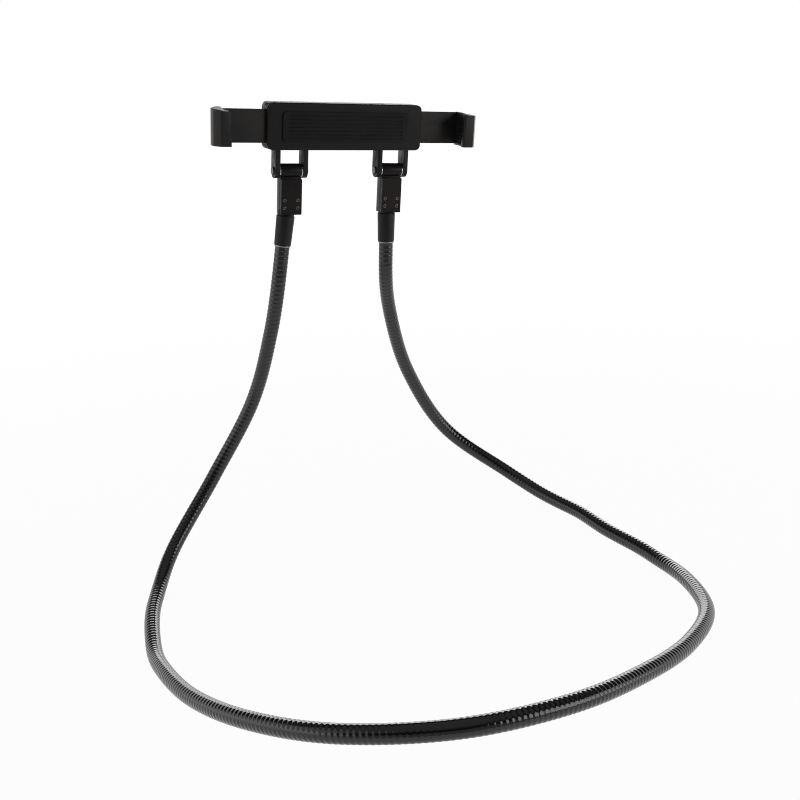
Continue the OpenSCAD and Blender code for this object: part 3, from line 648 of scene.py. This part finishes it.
def rounded_copy(node, width, least_face=ROUNDED_FACE):
    """A copy of a node whose large faces meet in rounded edges. Small holes keep their sharp ones."""
    source = frame["nodes"][node]
    mesh = bmesh.new()
    mesh.from_mesh(source.data)
    bmesh.ops.remove_doubles(mesh, verts=mesh.verts, dist=SAME_NODE_POINT)
    bmesh.ops.dissolve_limit(mesh, angle_limit=math.radians(FLAT_ANGLE), verts=mesh.verts, edges=mesh.edges)
    bmesh.ops.recalc_face_normals(mesh, faces=mesh.faces)
    area = least_face * MM * MM
    picked = [edge for edge in mesh.edges
              if len(edge.link_faces) == 2 and edge.is_convex
              and edge.calc_face_angle(0) > math.radians(ROUNDED_ANGLE)
              and min(face.calc_area() for face in edge.link_faces) > area]
    bmesh.ops.bevel(mesh, geom=picked, offset=width * MM, offset_type="OFFSET", segments=ROUND_SEGMENTS,
                    profile=0.5, affect="EDGES", clamp_overlap=True, miter_outer="ARC")
    bmesh.ops.remove_doubles(mesh, verts=mesh.verts, dist=SAME_NODE_POINT)
    bmesh.ops.dissolve_degenerate(mesh, edges=mesh.edges, dist=SAME_NODE_POINT)
    bmesh.ops.recalc_face_normals(mesh, faces=mesh.faces)
    data = bpy.data.meshes.new(node + "_moulding")
    mesh.to_mesh(data)
    mesh.free()
    piece = linked(node + "_moulding", data)
    smooth_by_angle(piece)
    return piece


def smooth_by_angle(piece):
    """Smooth shading, with edges kept sharp where faces meet at a great angle."""
    for face in piece.data.polygons:
        face.use_smooth = True
    mesh = bmesh.new()
    mesh.from_mesh(piece.data)
    for edge in mesh.edges:
        edge.smooth = len(edge.link_faces) == 2 and edge.calc_face_angle(math.pi) < math.radians(SHARP_ANGLE)
    mesh.to_mesh(piece.data)
    mesh.free()


# The stage


def light_panel(name, at, size, level, colour):
    """A soft panel that faces the holder. Its power is worked out from its brightness."""
    data = bpy.data.lights.new(name, "AREA")
    data.shape = "RECTANGLE"
    data.size, data.size_y = size
    data.energy = level * math.pi * size[0] * size[1]
    data.color = linear(colour)[:3]
    lamp = linked(name, data)
    lamp.location = at
    lamp.rotation_euler = (Vector(LIT_POINT) - Vector(at)).to_track_quat("-Z", "Y").to_euler()


def lay_floor(colour):
    """The floor. Rays that carry the background see it in plain light of its own colour, but for a share of its
    own shade near the object."""
    near, far = FLOOR_FRONT, FLOOR_REACH
    floor = new_piece("floor", [(-far, near, 0), (far, near, 0), (far, far, 0), (-far, far, 0)], [(0, 1, 2, 3)], False)
    floor_material, tree, out = new_material("matt_paper")
    paper = add(tree, "BsdfDiffuse", Color=colour)
    glow = add(tree, "Emission", Color=colour)
    rays = add(tree, "LightPath").outputs
    seen = add(tree, "Math", {0: rays["Is Camera Ray"], 1: rays["Is Glossy Ray"]}, operation="MAXIMUM")
    through = add(tree, "Math", {0: seen.outputs[0], 1: rays["Is Transmission Ray"]}, operation="MAXIMUM")
    away = add(tree, "VectorMath", {0: add(tree, "TexCoord").outputs["Object"]}, operation="LENGTH")
    plain = add(tree, "MapRange", {"Value": away.outputs["Value"]}, clamp=True, interpolation_type="SMOOTHSTEP",
                From_Min=SHADE_FULL, From_Max=SHADE_GONE, To_Min=1 - SHADE_KEPT)
    share = add(tree, "Math", {0: through.outputs[0], 1: plain.outputs["Result"]}, operation="MULTIPLY")
    seen_floor = add(tree, "MixShader", {0: share.outputs[0], 1: paper.outputs[0], 2: glow.outputs[0]})
    tree.links.new(seen_floor.outputs[0], out.inputs["Surface"])
    floor.data.materials.append(floor_material)


def build_room(colour):
    """The world: a pale ceiling over dark walls, and the backdrop's colour for the rays that carry it."""
    world = bpy.data.worlds.new("studio")
    world.use_nodes = True
    tree = world.node_tree
    tree.nodes.clear()
    out = add(tree, "OutputWorld")
    way = add(tree, "SeparateXYZ", {"Vector": add(tree, "TexCoord").outputs["Generated"]})
    ceiling = add(tree, "MapRange", {"Value": way.outputs["Z"]}, clamp=True, interpolation_type="SMOOTHSTEP",
                  From_Min=CEILING_FROM, From_Max=CEILING_FULL, To_Min=WALL_LIGHT, To_Max=CEILING_LIGHT)
    backdrop = add(tree, "MapRange", {"Value": way.outputs["Z"]}, clamp=True, interpolation_type="SMOOTHSTEP",
                   From_Min=BACKDROP_FULL, From_Max=BACKDROP_END, To_Min=1.0, To_Max=0.0)
    behind = add(tree, "MapRange", {"Value": way.outputs["Y"]}, clamp=True, interpolation_type="SMOOTHSTEP",
                 From_Min=FRONT_END, From_Max=BEHIND_FROM, To_Min=FRONT_SHARE)
    lit = add(tree, "Background", {"Strength": ceiling.outputs["Result"]}, Color=linear(ROOM_COLOUR))
    plain = add(tree, "Background", Strength=1.0, Color=colour)
    rays = add(tree, "LightPath").outputs
    shown = add(tree, "Math", {0: backdrop.outputs["Result"], 1: behind.outputs["Result"]}, operation="MULTIPLY")
    mirrored = add(tree, "Math", {0: rays["Is Glossy Ray"], 1: shown.outputs[0]}, operation="MULTIPLY")
    seen = add(tree, "Math", {0: rays["Is Camera Ray"], 1: rays["Is Transmission Ray"]}, operation="MAXIMUM")
    share = add(tree, "Math", {0: seen.outputs[0], 1: mirrored.outputs[0]}, operation="MAXIMUM")
    room = add(tree, "MixShader", {0: share.outputs[0], 1: lit.outputs[0], 2: plain.outputs[0]})
    tree.links.new(room.outputs[0], out.inputs["Surface"])
    return world


# Operators


class HOLDER_OT_camera(bpy.types.Operator):
    """Sets the camera where the photograph was taken"""

    bl_idname = "holder.camera"
    bl_label = "Camera"

    def execute(self, context):
        data = bpy.data.cameras.new("photo_camera")
        data.sensor_fit = "HORIZONTAL"
        data.sensor_width = SENSOR_MM
        data.lens = PHOTO_FOCAL_PX / PHOTO_SIDE * SENSOR_MM
        data.clip_start = CLIP_NEAR
        data.clip_end = CLIP_FAR
        camera = linked("photo_camera", data)
        middle = CRADLE.translation
        at = Vector((middle.x, middle.y, 0)) + CAMERA_FROM_CRADLE * MM + Vector((0, 0, CAMERA_HEIGHT * MM))
        camera.matrix_world = (Matrix.Translation(at)
                               @ Matrix.Rotation(math.radians(CAMERA_ROLL), 4, "Y")
                               @ Matrix.Rotation(math.radians(-CAMERA_YAW), 4, "Z")
                               @ Matrix.Rotation(math.radians(90 - CAMERA_PITCH), 4, "X"))
        context.scene.camera = camera
        return {"FINISHED"}


class HOLDER_OT_gooseneck(bpy.types.Operator):
    """Winds the ribbed tube on its middle line and finishes its core and plugs"""

    bl_idname = "holder.gooseneck"
    bl_label = "Gooseneck"

    def execute(self, context):
        stand_for(tube_piece(), "gooseneck_hose", "extruded_pvc")
        finish_with(frame["nodes"]["gooseneck_core"], "turned_aluminium")
        for side in ("left", "right"):
            finish_with(frame["nodes"][side + "_plug"], "turned_aluminium")
        return {"FINISHED"}


class HOLDER_OT_fittings(bpy.types.Operator):
    """Turns the sleeves and bright rings that end the tube"""

    bl_idname = "holder.fittings"
    bl_label = "Sleeves and rings"

    def execute(self, context):
        for side, name in ((-1, "left"), (1, "right")):
            place = fitting(side)
            sleeve = revolved(name + "_end_sleeve", sleeve_outline(), place)
            smooth_by_angle(sleeve)
            stand_for(sleeve, name + "_sleeve", "moulded_elastomer")
            ring = revolved(name + "_bright_ring", ferrule_outline(), place)
            stand_for(ring, name + "_ferrule", "nickel_plate")
        return {"FINISHED"}


class HOLDER_OT_blocks(bpy.types.Operator):
    """Rounds and finishes the end blocks, their covers, screws and tilt hinge"""

    bl_idname = "holder.blocks"
    bl_label = "End blocks"

    def execute(self, context):
        for side in ("left", "right"):
            stand_for(rounded_copy(side + "_block", look().edge_round), side + "_block", "satin_abs")
            stand_for(rounded_copy(side + "_cover", COVER_ROUND), side + "_cover", "satin_abs")
            stand_for(socket_screws(side + "_cover_screws"), side + "_cover_screws", "black_oxide_steel")
            finish_with(frame["nodes"][side + "_hinge_pin"], "black_oxide_steel")
        finish_with(frame["nodes"]["friction_washers"], "ground_steel")
        return {"FINISHED"}


class HOLDER_OT_cradle(bpy.types.Operator):
    """Rounds and finishes the housing, the rest pad and what they hold"""

    bl_idname = "holder.cradle"
    bl_label = "Cradle"

    def execute(self, context):
        for shell in ("front_shell", "rear_shell"):
            stand_for(rounded_copy(shell, look().edge_round), shell, "grained_abs")
        stand_for(rounded_copy("rest_pad", REST_PAD_ROUND), "rest_pad", "silicone_rubber")
        for node, finish in (("shell_screws", "black_oxide_steel"), ("gear_axle", "ground_steel"),
                             ("return_spring", "blued_spring_steel"), ("gear", "natural_acetal")):
            finish_with(frame["nodes"][node], finish)
        return {"FINISHED"}


class HOLDER_OT_jaws(bpy.types.Operator):
    """Rounds and finishes the sliding arms, their jaws and the jaws' rubber faces"""

    bl_idname = "holder.jaws"
    bl_label = "Jaws"

    def execute(self, context):
        for side in ("left", "right"):
            stand_for(rounded_copy(side + "_arm", ARM_ROUND), side + "_arm", "filled_nylon")
            pad = rounded_copy(side + "_jaw_pad", JAW_PAD_ROUND, PAD_ROUNDED_FACE)
            stand_for(pad, side + "_jaw_pad", "silicone_rubber")
        return {"FINISHED"}


class HOLDER_OT_stage(bpy.types.Operator):
    """Lays the pale floor and sets the soft studio lights"""

    bl_idname = "holder.stage"
    bl_label = "Stage"

    def execute(self, context):
        scene = context.scene
        settings = scene.holder_stage
        colour = linear(hex_of(settings.floor_colour))
        lay_floor(colour)
        scene.world = build_room(colour)
        for name, (at, size, share, tint) in PANELS.items():
            light_panel(name, at, size, settings.panel_level * share, tint)
        scene.view_settings.view_transform = "Standard"
        scene.cycles.filter_width = PIXEL_FILTER
        return {"FINISHED"}


class HOLDER_PT_panel(bpy.types.Panel):
    """Lists the steps that make the holder"""

    bl_idname = "HOLDER_PT_panel"
    bl_label = "Gooseneck device holder"
    bl_space_type = "VIEW_3D"
    bl_region_type = "UI"
    bl_category = "Holder"

    def draw(self, context):
        column = self.layout.column()
        for step in STEPS:
            column.operator(step.bl_idname)
        for group in (context.scene.holder_look, context.scene.holder_stage):
            for name in group.__annotations__:
                column.prop(group, name)


STEPS = (HOLDER_OT_camera, HOLDER_OT_gooseneck, HOLDER_OT_fittings, HOLDER_OT_blocks,
         HOLDER_OT_cradle, HOLDER_OT_jaws, HOLDER_OT_stage)
CLASSES = (HolderLook, HolderStage) + STEPS + (HOLDER_PT_panel,)


def register():
    for item in CLASSES:
        bpy.utils.register_class(item)
    bpy.types.Scene.holder_look = bpy.props.PointerProperty(type=HolderLook)
    bpy.types.Scene.holder_stage = bpy.props.PointerProperty(type=HolderStage)


def unregister():
    del bpy.types.Scene.holder_stage
    del bpy.types.Scene.holder_look
    for item in reversed(CLASSES):
        bpy.utils.unregister_class(item)


def main():
    register()
    for step in STEPS:
        group, name = step.bl_idname.split(".")
        getattr(getattr(bpy.ops, group), name)()


if __name__ == "__main__":
    main()
